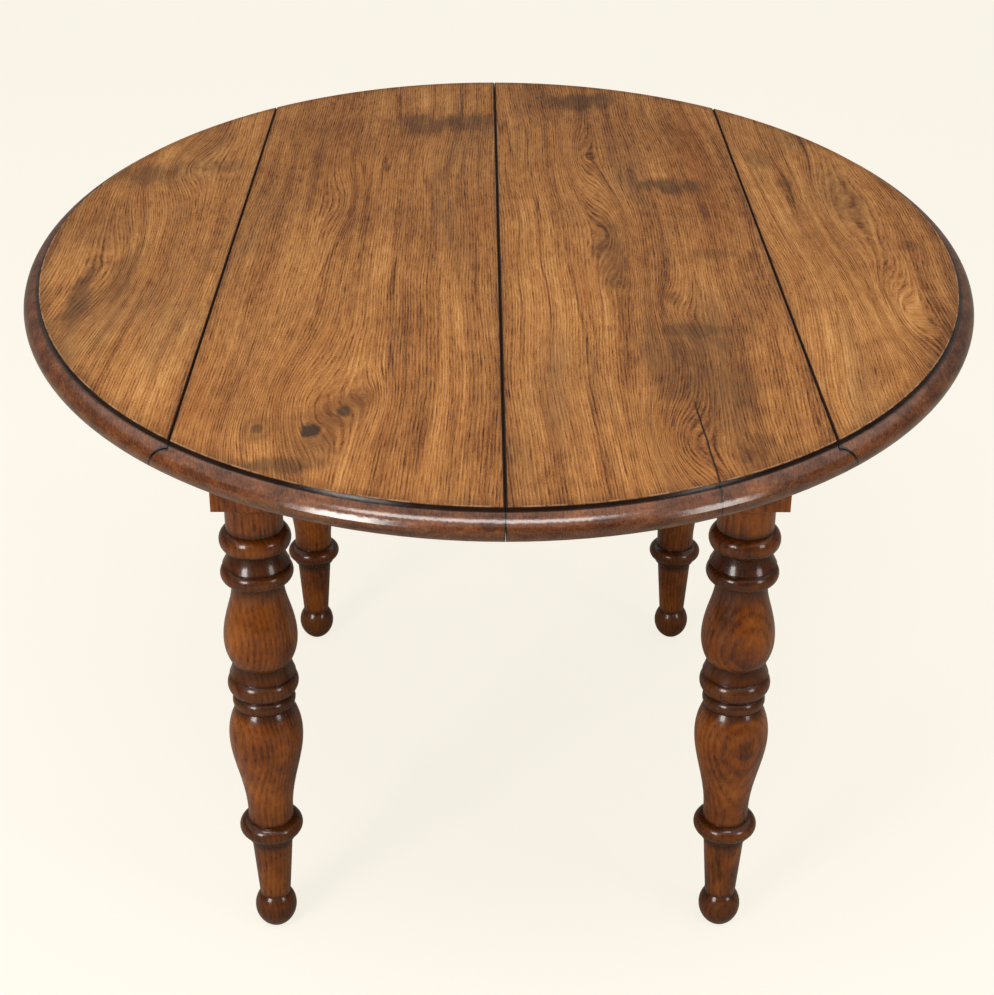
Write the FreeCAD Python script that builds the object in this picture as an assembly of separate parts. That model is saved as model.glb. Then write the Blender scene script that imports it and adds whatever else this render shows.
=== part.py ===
import FreeCAD
import Part
import os
from FreeCAD import Vector

# Oval extending table in oak: two halves that pull apart on wooden runners, each with two turned
# legs, half a frame and one drop leaf on a rule joint. Millimetres. X runs across the three joints
# of the top, Y along them, Z up from the floor, and the origin is on the floor under the centre.

# Oval top
TABLE_HEIGHT = 740.0
TOP_HALF_WIDTH = 540.0
TOP_HALF_LENGTH = 700.0
LEAF_JOINT_X = 310.0
CENTRE_GAP = 0.4
CENTRE_EASING = 1.3

# Rule joint: a fillet and an ovolo on the centre board under a cove on the leaf
JOINT_FILLET = 5.0
OVOLO_R = 20.0
KNUCKLE_R = 3.0
LIP_GAP = 1.2
COVE_CLEARANCE = 0.6
LIP_EASING = 0.8

# Moulding round the edge of the top
RIM_WIDTH = 18.0
RIM_STEP = 4.0
RIM_NOSE_DROP = 16.0
RIM_UNDERCUT = 5.0

# Hinges
HINGE_PLACES = (-430.0, 0.0, 430.0)
HINGE_WIDTH = 50.0
HINGE_MIDDLE_KNUCKLE = 17.0
HINGE_PIN_R = 1.5
HINGE_FIXED_REACH = 35.0
HINGE_LEAF_REACH = 72.0
FLAP_THICKNESS = 2.0
KNUCKLE_SIDE_GAP = 0.2
KNUCKLE_ROOM = 0.5
PIN_RUNNING_CLEARANCE = 0.05
FLAP_ROOM = 0.3

# Wood screws
SCREW_R = 1.8
SCREW_HEAD_R = 4.0
SCREW_LENGTH = 18.0
FRAME_SCREW_R = 2.5
FRAME_SCREW_HEAD_R = 5.0
FRAME_SCREW_LENGTH = 40.0
FRAME_SCREW_BITE = 14.0
FIT_CLEARANCE = 0.05

# Frame under the top
LEG_X = 264.0
LEG_Y = 330.0
BLOCK_SIDE = 80.0
BLOCK_HEIGHT = 141.0
RAIL_THICKNESS = 25.0
RAIL_DEPTH = 100.0
RAIL_SETBACK = 4.0
TENON_THICKNESS = 8.0
TENON_LENGTH = 30.0
TENON_SHOULDER = 20.0
TENON_CLEARANCE = 0.1
FRAME_PEG_R = 4.0
FRAME_PEG_LENGTH = 32.0
FRAME_PEG_PROUD = 0.8
FRAME_PEG_SPREAD = 30.0
GLUE_BLOCK_SIDE = 18.0
GLUE_BLOCK_LENGTH = 70.0
END_GLUE_BLOCK_Y = 75.0
SIDE_GLUE_BLOCK_X = 120.0

# Runners that carry the extension
EXTENSION = 500.0
RUNNER_LEG_GAP = 9.4
RUNNER_WIDTH = 28.0
RUNNER_DEPTH = 46.0
RUNNER_FREE_GAP = 22.0
MIDDLE_RUNNER_END_GAP = 25.0
RUNNER_CLEARANCE = 0.3
RUNNER_END_GAP = 3.0
TONGUE_DEPTH = 8.0
TONGUE_ROOT = 12.0
TONGUE_TIP = 18.0
TONGUE_SETBACK = 15.0
STOP_GAP = 1.0
RUNNER_SCREW_PLACES = (60.0, 220.0)

# Lopers: bars that slide out to carry the raised leaves
LOPER_Y = 150.0
LOPER_WIDTH = 28.0
LOPER_DEPTH = 38.0
LOPER_LENGTH = 250.0
LOPER_TRAVEL = 160.0
LOPER_CLEARANCE = 0.3
LOPER_PIN_R = 4.0
LOPER_PIN_DROP = 12.0
LOPER_PIN_FROM_END = 10.0
FINGER_R = 11.0
FINGER_FROM_END = 24.0
BEARER_THICKNESS = 22.0
BEARER_DEPTH = 60.0
BEARER_OVERHANG = 22.0

# Pegs that line up the two centre boards
ALIGN_PEG_PLACES = (-420.0, 0.0, 420.0)
ALIGN_PEG_R = 5.0
ALIGN_PEG_HOLE = 25.0
ALIGN_PEG_REACH = 18.0
ALIGN_PEG_CLEARANCE = 0.3

# Turned leg, from the floor up: radius of each member, and its height on the turner's pattern,
# which is stretched to the length left below the block
PAD_R = 11.0
BALL_R = 24.3
BALL_Z = 24.0
ANKLE_R = 17.8
ANKLE_Z = 44.0
TAPER_R = 23.6
TAPER_Z = 123.0
FILLET_R = 27.6
FILLET_Z = 127.0
RING_FOOT_R = 28.6
RING_FOOT_Z = 132.0
RING_R = 36.4
RING_Z = 143.5
RING_TOP_R = 28.4
RING_TOP_Z = 153.5
SHANK_R = 26.4
SHANK_Z = 177.0
VASE_HIP_R = 33.5
VASE_HIP_Z = 218.5
VASE_R = 41.5
VASE_Z = 263.0
VASE_TOP_R = 31.8
VASE_TOP_Z = 308.5
ASTRAGAL_R = 35.2
ASTRAGAL_Z = 317.0
COLLAR_FOOT_R = 30.8
COLLAR_FOOT_Z = 325.0
COLLAR_R = 39.6
COLLAR_Z = 337.0
COLLAR_TOP_R = 34.9
COLLAR_TOP_Z = 349.0
FLARE_R = 36.9
FLARE_Z = 351.0
FLARE_MID_R = 34.2
FLARE_MID_Z = 358.5
NECKING_R = 32.2
NECKING_Z = 366.0
BALUSTER_R = 40.8
BALUSTER_Z = 398.0
CHEST_R = 34.8
CHEST_Z = 433.0
WAIST_R = 29.2
WAIST_Z = 456.0
TORUS_FOOT_R = 31.0
TORUS_FOOT_Z = 468.0
TORUS_R = 39.9
TORUS_Z = 478.5
TORUS_TOP_R = 34.9
TORUS_TOP_Z = 488.5
CUP_R = 36.8
CUP_Z = 490.5
CUP_MID_R = 32.9
CUP_MID_Z = 498.5
GROOVE_R = 30.4
GROOVE_Z = 506.5
BEAD_R = 39.1
BEAD_Z = 521.0
NECK_R = 31.2
NECK_Z = 533.5
NECK_TOP_Z = 562.0
SHOULDER_R = 36.5
SHOULDER_EDGE_Z = 567.5
SHOULDER_Z = 571.0

# Levels and faces worked out from the sizes above
TOP_THICKNESS = JOINT_FILLET + OVOLO_R + KNUCKLE_R
UNDERSIDE = TABLE_HEIGHT - TOP_THICKNESS
HINGE_Z = UNDERSIDE + KNUCKLE_R
MID_THICKNESS = UNDERSIDE + TOP_THICKNESS / 2
TURNED_HEIGHT = UNDERSIDE - BLOCK_HEIGHT
PATTERN_STRETCH = TURNED_HEIGHT / SHOULDER_Z
BLOCK_OUTER_X = LEG_X + BLOCK_SIDE / 2
BLOCK_INNER_X = LEG_X - BLOCK_SIDE / 2
BLOCK_OUTER_Y = LEG_Y + BLOCK_SIDE / 2
BLOCK_INNER_Y = LEG_Y - BLOCK_SIDE / 2
RAIL_OUTER_X = BLOCK_OUTER_X - RAIL_SETBACK
RAIL_INNER_X = RAIL_OUTER_X - RAIL_THICKNESS
RAIL_OUTER_Y = BLOCK_OUTER_Y - RAIL_SETBACK
RAIL_INNER_Y = RAIL_OUTER_Y - RAIL_THICKNESS
RAIL_BOTTOM = UNDERSIDE - RAIL_DEPTH
RUNNER_TOP = UNDERSIDE - RUNNER_CLEARANCE
RUNNER_BOTTOM = RUNNER_TOP - RUNNER_DEPTH
RUNNER_OUTER_X = RAIL_INNER_X - RUNNER_END_GAP
RUNNER_FREE_X = RAIL_INNER_X - RUNNER_FREE_GAP
MIDDLE_RUNNER_X = RAIL_INNER_X - MIDDLE_RUNNER_END_GAP
LOPER_TOP = UNDERSIDE - LOPER_CLEARANCE
LOPER_BOTTOM = LOPER_TOP - LOPER_DEPTH
LOPER_INNER_X = RAIL_OUTER_X - LOPER_LENGTH
LOPER_PIN_X = LOPER_INNER_X + LOPER_PIN_FROM_END
BEARER_INNER_X = LOPER_PIN_X + LOPER_PIN_R + LOPER_TRAVEL
BEARER_OUTER_X = BEARER_INNER_X + BEARER_THICKNESS
BEARER_HALF = LOPER_Y + LOPER_WIDTH / 2 + BEARER_OVERHANG
BEARER_BOTTOM = UNDERSIDE - BEARER_DEPTH

# Waste cut off beyond a face, so that no cut ends on the face itself
SPARE = 6.0


def box(x0, x1, y0, y1, z0, z1):
    """A box between two limits on each axis, given in either order."""
    low = Vector(min(x0, x1), min(y0, y1), min(z0, z1))
    return Part.makeBox(abs(x1 - x0), abs(y1 - y0), abs(z1 - z0), low)


def bar_along_x(outline, x0, x1):
    """A straight bar whose section is an outline of (y, z) points."""
    points = [Vector(x0, y, z) for y, z in outline]
    face = Part.Face(Part.makePolygon(points + points[:1]))
    return face.extrude(Vector(x1 - x0, 0, 0))


def mirrored(shape):
    """The same piece for the right-hand half."""
    return shape.mirror(Vector(0, 0, 0), Vector(1, 0, 0))


def flipped(shape):
    """The same piece for the back."""
    return shape.mirror(Vector(0, 0, 0), Vector(0, 1, 0))


def line(start, end):
    return Part.LineSegment(start, end).toShape()


def arc(start, middle, end):
    return Part.Arc(start, middle, end).toShape()


def joined(solids):
    """One solid from pieces that are made of a single piece of stock."""
    whole = solids[0].fuse(solids[1:])
    return whole.removeSplitter()


def oval(half_width, half_length, z):
    """An oval edge with its long axis along Y."""
    centre = Vector(0, 0, z)
    return Part.Ellipse(Vector(0, half_length, z), Vector(-half_width, 0, z), centre).toShape()


def oval_slab():
    """The whole oval top before it is sawn into boards, with its moulding run round the edge."""
    stock_edge = oval(TOP_HALF_WIDTH + SPARE / 2, TOP_HALF_LENGTH + SPARE / 2, UNDERSIDE)
    stock = Part.Face(Part.Wire([stock_edge])).extrude(Vector(0, 0, TOP_THICKNESS))

    def at(inset, drop):
        return Vector(0, TOP_HALF_LENGTH - inset, TABLE_HEIGHT - drop)

    upper = (RIM_WIDTH, RIM_STEP)
    nose = (0.0, RIM_NOSE_DROP)
    lower = (RIM_UNDERCUT, TOP_THICKNESS)
    slant = 0.5 ** 0.5
    upper_mid = (RIM_WIDTH * (1 - slant), RIM_STEP + (RIM_NOSE_DROP - RIM_STEP) * (1 - slant))
    lower_mid = (RIM_UNDERCUT * (1 - slant), RIM_NOSE_DROP + (TOP_THICKNESS - RIM_NOSE_DROP) * slant)
    corners = [
        (RIM_UNDERCUT, TOP_THICKNESS + SPARE),
        (-SPARE, TOP_THICKNESS + SPARE),
        (-SPARE, -SPARE),
        (RIM_WIDTH, -SPARE),
    ]
    cutter = [
        line(at(RIM_WIDTH, -SPARE), at(*upper)),
        arc(at(*upper), at(*upper_mid), at(*nose)),
        arc(at(*nose), at(*lower_mid), at(*lower)),
        line(at(*lower), at(*corners[0])),
    ]
    for start, end in zip(corners, corners[1:]):
        cutter.append(line(at(*start), at(*end)))
    spine = Part.Wire([oval(TOP_HALF_WIDTH, TOP_HALF_LENGTH, TABLE_HEIGHT)])
    waste = spine.makePipeShell([Part.Wire(cutter)], True, True)
    return stock.cut(waste)


def section_along_y(edges):
    """A bar as long as the top, from a closed outline drawn at Y = 0."""
    face = Part.Face(Part.Wire(edges))
    length = TOP_HALF_LENGTH + SPARE
    face.translate(Vector(0, -length, 0))
    return face.extrude(Vector(0, 2 * length, 0))


def centre_section():
    """Section of the left centre board: eased top edges, and the ovolo of the rule joint outside."""
    floor = UNDERSIDE - SPARE
    roof = TABLE_HEIGHT + SPARE
    slant = OVOLO_R * 0.5 ** 0.5
    inner_low = Vector(-CENTRE_GAP / 2, 0, floor)
    inner_edge = Vector(-CENTRE_GAP / 2, 0, TABLE_HEIGHT - CENTRE_EASING)
    inner_high = Vector(-CENTRE_GAP / 2 - CENTRE_EASING - SPARE, 0, roof)
    lip_high = Vector(-LEAF_JOINT_X + LIP_EASING + SPARE, 0, roof)
    lip_edge = Vector(-LEAF_JOINT_X, 0, TABLE_HEIGHT - LIP_EASING)
    lip_low = Vector(-LEAF_JOINT_X, 0, HINGE_Z + OVOLO_R)
    ovolo_mid = Vector(-LEAF_JOINT_X - slant, 0, HINGE_Z + slant)
    ovolo_end = Vector(-LEAF_JOINT_X - OVOLO_R, 0, HINGE_Z)
    outer_low = Vector(-LEAF_JOINT_X - OVOLO_R, 0, floor)
    return section_along_y([
        line(inner_low, inner_edge),
        line(inner_edge, inner_high),
        line(inner_high, lip_high),
        line(lip_high, lip_edge),
        line(lip_edge, lip_low),
        arc(lip_low, ovolo_mid, ovolo_end),
        line(ovolo_end, outer_low),
        line(outer_low, inner_low),
    ])


def leaf_section():
    """Section of the left leaf, with the cove that turns round the ovolo."""
    floor = UNDERSIDE - SPARE
    roof = TABLE_HEIGHT + SPARE
    cove = OVOLO_R + COVE_CLEARANCE
    slant = cove * 0.5 ** 0.5
    lip_x = -LEAF_JOINT_X - LIP_GAP
    lip_z = HINGE_Z + (cove ** 2 - LIP_GAP ** 2) ** 0.5
    lip_high = Vector(lip_x - LIP_EASING - SPARE, 0, roof)
    lip_edge = Vector(lip_x, 0, TABLE_HEIGHT - LIP_EASING)
    lip_low = Vector(lip_x, 0, lip_z)
    cove_mid = Vector(-LEAF_JOINT_X - slant, 0, HINGE_Z + slant)
    cove_end = Vector(-LEAF_JOINT_X - cove, 0, HINGE_Z)
    inner_low = Vector(-LEAF_JOINT_X - cove, 0, floor)
    outer_low = Vector(-TOP_HALF_WIDTH - SPARE, 0, floor)
    outer_high = Vector(-TOP_HALF_WIDTH - SPARE, 0, roof)
    return section_along_y([
        line(lip_high, lip_edge),
        line(lip_edge, lip_low),
        arc(lip_low, cove_mid, cove_end),
        line(cove_end, inner_low),
        line(inner_low, outer_low),
        line(outer_low, outer_high),
        line(outer_high, lip_high),
    ])


def screw(x, y, z, radius, head_radius, length, clearance):
    """A countersunk wood screw driven upwards, its head flush at z. A clearance makes its hole."""
    head = Part.makeCone(head_radius + clearance, radius + clearance, head_radius - radius, Vector(x, y, z))
    point = radius * 2
    shank = Part.makeCylinder(radius + clearance, length - point + clearance, Vector(x, y, z))
    tip = Part.makeCone(radius + clearance, 0.3, point, Vector(x, y, z + length - point + clearance))
    return joined([head, shank, tip])


def fixed_screw_places():
    """Screws of the flaps that stay on the left centre board."""
    along = HINGE_WIDTH * 0.28
    places = []
    for y in HINGE_PLACES:
        places.append((-LEAF_JOINT_X + HINGE_FIXED_REACH * 0.42, y - along))
        places.append((-LEAF_JOINT_X + HINGE_FIXED_REACH * 0.78, y + along))
    return places


def leaf_screw_places():
    """Screws of the flaps that turn with the left leaf."""
    along = HINGE_WIDTH * 0.28
    bare = OVOLO_R + COVE_CLEARANCE
    gripped = HINGE_LEAF_REACH - bare
    places = []
    for y in HINGE_PLACES:
        places.append((-LEAF_JOINT_X - bare - gripped * 0.4, y - along))
        places.append((-LEAF_JOINT_X - bare - gripped * 0.75, y + along))
    return places


def hinge_screws(places, clearance=0.0):
    return [
        screw(x, y, UNDERSIDE, SCREW_R, SCREW_HEAD_R, SCREW_LENGTH, clearance)
        for x, y in places
    ]


def knuckle(y0, y1):
    """A length of hinge barrel round the axis."""
    start = Vector(-LEAF_JOINT_X, y0, HINGE_Z)
    return Part.makeCylinder(KNUCKLE_R, y1 - y0, start, Vector(0, 1, 0))


def fixed_flap(y):
    """Hinge flap on the left centre board: two outer knuckles and a plate running inwards."""
    half = HINGE_WIDTH / 2
    inner = HINGE_MIDDLE_KNUCKLE / 2 + KNUCKLE_SIDE_GAP
    top = UNDERSIDE + FLAP_THICKNESS
    plate_start = -LEAF_JOINT_X + KNUCKLE_R + KNUCKLE_ROOM
    plate_end = -LEAF_JOINT_X + HINGE_FIXED_REACH
    solids = [box(plate_start, plate_end, y - half, y + half, UNDERSIDE, top)]
    for y0, y1 in ((y - half, y - inner), (y + inner, y + half)):
        solids.append(box(-LEAF_JOINT_X, plate_start, y0, y1, UNDERSIDE, top))
        solids.append(knuckle(y0, y1))
    pin_hole = HINGE_PIN_R + FIT_CLEARANCE / 2
    flap = joined(solids)
    flap = flap.cut(hinge_pin(y, pin_hole, SPARE))
    return flap.cut(hinge_screws(fixed_screw_places(), FIT_CLEARANCE))


def leaf_flap(y):
    """Hinge flap on the left leaf: one middle knuckle and a longer plate under the ovolo."""
    half = HINGE_WIDTH / 2
    middle = HINGE_MIDDLE_KNUCKLE / 2
    top = UNDERSIDE + FLAP_THICKNESS
    plate_start = -LEAF_JOINT_X - KNUCKLE_R - KNUCKLE_ROOM
    plate_end = -LEAF_JOINT_X - HINGE_LEAF_REACH
    flap = joined([
        box(plate_start, plate_end, y - half, y + half, UNDERSIDE, top),
        box(-LEAF_JOINT_X, plate_start, y - middle, y + middle, UNDERSIDE, top),
        knuckle(y - middle, y + middle),
    ])
    flap = flap.cut(hinge_pin(y, HINGE_PIN_R + PIN_RUNNING_CLEARANCE, SPARE))
    return flap.cut(hinge_screws(leaf_screw_places(), FIT_CLEARANCE))


def hinge_pin(y, radius=HINGE_PIN_R, extra=0.0):
    start = y - HINGE_WIDTH / 2 - extra
    return Part.makeCylinder(
        radius, HINGE_WIDTH + 2 * extra, Vector(-LEAF_JOINT_X, start, HINGE_Z), Vector(0, 1, 0)
    )


def hinge_recesses():
    """Housings cut in the underside of the left centre board for the hinges."""
    cuts = []
    for y in HINGE_PLACES:
        half = HINGE_WIDTH / 2 + FLAP_ROOM
        outer = -LEAF_JOINT_X - OVOLO_R - SPARE
        inner = -LEAF_JOINT_X + HINGE_FIXED_REACH + FLAP_ROOM
        trough = KNUCKLE_R + KNUCKLE_ROOM
        cuts.append(box(outer, inner, y - half, y + half, UNDERSIDE - SPARE, UNDERSIDE + FLAP_THICKNESS))
        cuts.append(box(
            -LEAF_JOINT_X - trough, -LEAF_JOINT_X + trough,
            y - half, y + half, UNDERSIDE - SPARE, HINGE_Z + trough,
        ))
    return cuts


def leaf_recesses():
    """Housings in the underside of the left leaf for its flaps."""
    cuts = []
    for y in HINGE_PLACES:
        half = HINGE_WIDTH / 2 + FLAP_ROOM
        outer = -LEAF_JOINT_X - HINGE_LEAF_REACH - FLAP_ROOM
        top = UNDERSIDE + FLAP_THICKNESS
        cuts.append(box(outer, -LEAF_JOINT_X, y - half, y + half, UNDERSIDE - SPARE, top))
    return cuts


def align_peg(y, radius, start, end):
    return Part.makeCylinder(radius, end - start, Vector(start, y, MID_THICKNESS), Vector(1, 0, 0))


def align_pegs():
    """Dowels glued into the edge of the left centre board, with rounded tips."""
    start = -CENTRE_GAP / 2 - ALIGN_PEG_HOLE
    end = CENTRE_GAP / 2 + ALIGN_PEG_REACH
    pegs = []
    for y in ALIGN_PEG_PLACES:
        peg = align_peg(y, ALIGN_PEG_R, start, end)
        tips = [edge for edge in peg.Edges if abs(edge.CenterOfMass.x - end) < 0.01 and edge.Closed]
        pegs.append(peg.makeFillet(ALIGN_PEG_R * 0.5, tips))
    return pegs


def left_centre_top(slab):
    """Left board of the fixed centre, with its hinge housings, peg holes and screw holes."""
    board = slab.common(centre_section())
    holes = hinge_recesses()
    holes += hinge_screws(fixed_screw_places(), FIT_CLEARANCE)
    holes += frame_screws("left", FIT_CLEARANCE)
    start = -CENTRE_GAP / 2 - ALIGN_PEG_HOLE
    for y in ALIGN_PEG_PLACES:
        holes.append(align_peg(y, ALIGN_PEG_R + FIT_CLEARANCE, start, 0.0))
    return board.cut(holes)


def right_centre_top(slab):
    """Right board of the fixed centre: the pegs of the left board slide into its edge."""
    board = mirrored(slab.common(centre_section()))
    holes = [mirrored(cut) for cut in hinge_recesses()]
    holes += [mirrored(cut) for cut in hinge_screws(fixed_screw_places(), FIT_CLEARANCE)]
    holes += frame_screws("right", FIT_CLEARANCE)
    end = CENTRE_GAP / 2 + ALIGN_PEG_HOLE
    for y in ALIGN_PEG_PLACES:
        holes.append(align_peg(y, ALIGN_PEG_R + ALIGN_PEG_CLEARANCE, 0.0, end))
    return board.cut(holes)


def left_leaf(slab):
    """Left drop leaf: the outer segment of the oval, coved along its inner edge."""
    leaf = slab.common(leaf_section())
    return leaf.cut(leaf_recesses() + hinge_screws(leaf_screw_places(), FIT_CLEARANCE))


def turned_outline():
    """Half outline of the turned leg, from the pad on the floor up to the square block."""

    def at(radius, z):
        return Vector(radius, 0, z * PATTERN_STRETCH)

    def curve(*points):
        spline = Part.BSplineCurve()
        spline.interpolate([at(*p) for p in points])
        return spline.toShape()

    def ring(foot, out, top):
        return arc(at(*foot), at(*out), at(*top))

    pad = (PAD_R, 0.0)
    ankle = (ANKLE_R, ANKLE_Z)
    taper = (TAPER_R, TAPER_Z)
    fillet = (FILLET_R, FILLET_Z)
    ring_foot = (RING_FOOT_R, RING_FOOT_Z)
    ring_top = (RING_TOP_R, RING_TOP_Z)
    shank_foot = (SHANK_R, RING_TOP_Z)
    vase_top = (VASE_TOP_R, VASE_TOP_Z)
    collar_foot = (COLLAR_FOOT_R, COLLAR_FOOT_Z)
    collar_top = (COLLAR_TOP_R, COLLAR_TOP_Z)
    flare = (FLARE_R, FLARE_Z)
    necking = (NECKING_R, NECKING_Z)
    waist = (WAIST_R, TORUS_FOOT_Z)
    torus_foot = (TORUS_FOOT_R, TORUS_FOOT_Z)
    torus_top = (TORUS_TOP_R, TORUS_TOP_Z)
    cup = (CUP_R, CUP_Z)
    groove = (GROOVE_R, GROOVE_Z)
    neck = (NECK_R, NECK_Z)
    neck_top = (NECK_R, NECK_TOP_Z)
    shoulder_edge = (SHOULDER_R, SHOULDER_EDGE_Z)
    shoulder = (SHOULDER_R, SHOULDER_Z)
    shoulder_hollow = (NECK_R + (SHOULDER_R - NECK_R) * 0.3, (NECK_TOP_Z + SHOULDER_EDGE_Z) / 2 + 1)
    return [
        line(at(0, 0), at(*pad)),
        ring(pad, (BALL_R, BALL_Z), ankle),
        line(at(*ankle), at(*taper)),
        line(at(*taper), at(*fillet)),
        line(at(*fillet), at(*ring_foot)),
        ring(ring_foot, (RING_R, RING_Z), ring_top),
        line(at(*ring_top), at(*shank_foot)),
        curve(shank_foot, (SHANK_R, SHANK_Z), (VASE_HIP_R, VASE_HIP_Z), (VASE_R, VASE_Z), vase_top),
        ring(vase_top, (ASTRAGAL_R, ASTRAGAL_Z), collar_foot),
        ring(collar_foot, (COLLAR_R, COLLAR_Z), collar_top),
        line(at(*collar_top), at(*flare)),
        ring(flare, (FLARE_MID_R, FLARE_MID_Z), necking),
        curve(necking, (BALUSTER_R, BALUSTER_Z), (CHEST_R, CHEST_Z), (WAIST_R, WAIST_Z), waist),
        line(at(*waist), at(*torus_foot)),
        ring(torus_foot, (TORUS_R, TORUS_Z), torus_top),
        line(at(*torus_top), at(*cup)),
        ring(cup, (CUP_MID_R, CUP_MID_Z), groove),
        ring(groove, (BEAD_R, BEAD_Z), neck),
        line(at(*neck), at(*neck_top)),
        arc(at(*neck_top), at(*shoulder_hollow), at(*shoulder_edge)),
        line(at(*shoulder_edge), at(*shoulder)),
        line(at(*shoulder), at(0, SHOULDER_Z)),
        line(at(0, SHOULDER_Z), at(0, 0)),
    ]


def tenon_levels():
    """Bottom and top of the tenons on the rails."""
    return RAIL_BOTTOM + TENON_SHOULDER, UNDERSIDE - TENON_SHOULDER


def end_tenon(clearance=0.0):
    """Tenon of the left end rail in the front leg, with a clearance for its mortise."""
    mid = -(RAIL_OUTER_X + RAIL_INNER_X) / 2
    half = TENON_THICKNESS / 2 + clearance
    low, high = tenon_levels()
    inside = -BLOCK_INNER_Y - TENON_LENGTH - clearance
    return box(mid - half, mid + half, -BLOCK_INNER_Y, inside, low - clearance, high + clearance)


def side_tenon(clearance=0.0):
    """Tenon of the front rail in the left leg."""
    mid = -(RAIL_OUTER_Y + RAIL_INNER_Y) / 2
    half = TENON_THICKNESS / 2 + clearance
    low, high = tenon_levels()
    inside = -BLOCK_INNER_X - TENON_LENGTH - clearance
    return box(-BLOCK_INNER_X, inside, mid - half, mid + half, low - clearance, high + clearance)


def frame_pegs(clearance=0.0):
    """Pegs driven through the front left leg block and the two tenons in it."""
    mid = (RAIL_BOTTOM + UNDERSIDE) / 2
    radius = FRAME_PEG_R + clearance
    pegs = []
    for z in (mid - FRAME_PEG_SPREAD / 2, mid + FRAME_PEG_SPREAD / 2):
        across = Vector(-BLOCK_OUTER_X - FRAME_PEG_PROUD, -BLOCK_INNER_Y - TENON_LENGTH / 2, z)
        along = Vector(-BLOCK_INNER_X - TENON_LENGTH / 2, -BLOCK_OUTER_Y - FRAME_PEG_PROUD, z)
        length = FRAME_PEG_LENGTH + clearance
        pegs.append(Part.makeCylinder(radius, length, across, Vector(1, 0, 0)))
        pegs.append(Part.makeCylinder(radius, length, along, Vector(0, 1, 0)))
    return pegs


def front_left_leg():
    """A leg turned from one square: the block at its head is left square for the mortises."""
    turned = Part.Face(Part.Wire(turned_outline())).revolve(Vector(0, 0, 0), Vector(0, 0, 1), 360)
    turned.translate(Vector(-LEG_X, -LEG_Y, 0))
    block = box(
        -BLOCK_OUTER_X, -BLOCK_INNER_X, -BLOCK_OUTER_Y, -BLOCK_INNER_Y, TURNED_HEIGHT, UNDERSIDE
    )
    leg = joined([block, turned])
    return leg.cut([end_tenon(TENON_CLEARANCE), side_tenon(TENON_CLEARANCE)] + frame_pegs(FIT_CLEARANCE))


def left_end_rail():
    """Rail between the two left legs, with a notch for each loper in its top edge."""
    rail = box(-RAIL_OUTER_X, -RAIL_INNER_X, -BLOCK_INNER_Y, BLOCK_INNER_Y, RAIL_BOTTOM, UNDERSIDE)
    rail = joined([rail, end_tenon(), flipped(end_tenon())])
    pegs = frame_pegs(FIT_CLEARANCE)
    cuts = pegs + [flipped(peg) for peg in pegs]
    for y in (-LOPER_Y, LOPER_Y):
        cuts.append(loper_notch(y, -RAIL_OUTER_X - SPARE, -RAIL_INNER_X + SPARE))
    return rail.cut(cuts)


def left_front_rail():
    """Half of the front rail: it stops at the middle, where the table pulls apart."""
    rail = box(
        -BLOCK_INNER_X, -CENTRE_GAP / 2, -RAIL_OUTER_Y, -RAIL_INNER_Y, RAIL_BOTTOM, UNDERSIDE
    )
    return joined([rail, side_tenon()]).cut(frame_pegs(FIT_CLEARANCE))


def loper_notch(y, x0, x1):
    half = LOPER_WIDTH / 2 + LOPER_CLEARANCE
    return box(x0, x1, y - half, y + half, LOPER_BOTTOM - LOPER_CLEARANCE, UNDERSIDE + SPARE)


def left_bearer():
    """Cross bar screwed under the top that guides the inner ends of the left lopers."""
    bearer = box(
        -BEARER_OUTER_X, -BEARER_INNER_X, -BEARER_HALF, BEARER_HALF, BEARER_BOTTOM, UNDERSIDE
    )
    cuts = [loper_notch(y, -BEARER_OUTER_X - SPARE, -BEARER_INNER_X + SPARE) for y in (-LOPER_Y, LOPER_Y)]
    return bearer.cut(cuts + frame_screws("left", FIT_CLEARANCE) + frame_screw_wells("left"))


def front_left_loper():
    """A loper, pushed in flush with the end rail, with a finger grip under its outer end."""
    bar = box(
        -RAIL_OUTER_X, -LOPER_INNER_X,
        -LOPER_Y - LOPER_WIDTH / 2, -LOPER_Y + LOPER_WIDTH / 2, LOPER_BOTTOM, LOPER_TOP,
    )
    grip_x = -RAIL_OUTER_X + FINGER_FROM_END
    grip_start = Vector(grip_x, -LOPER_Y - LOPER_WIDTH, LOPER_BOTTOM - FINGER_R * 0.4)
    grip = Part.makeCylinder(FINGER_R, 2 * LOPER_WIDTH, grip_start, Vector(0, 1, 0))
    return bar.cut([grip, loper_stop(FIT_CLEARANCE)])


def loper_stop(clearance=0.0):
    """Peg under the inner end of a loper that meets the bearer when the loper is right out."""
    foot = Vector(-LOPER_PIN_X, -LOPER_Y, LOPER_BOTTOM - LOPER_PIN_DROP)
    length = LOPER_PIN_DROP + LOPER_DEPTH * 0.6 + clearance
    return Part.makeCylinder(LOPER_PIN_R + clearance, length, foot)


def runner_y(place):
    """Near and far side of a front runner, place 2 being the one next to the leg blocks."""
    outer = BLOCK_INNER_Y - RUNNER_LEG_GAP
    far = outer - (2 - place) * (RUNNER_WIDTH + RUNNER_CLEARANCE)
    return far - RUNNER_WIDTH, far


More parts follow.
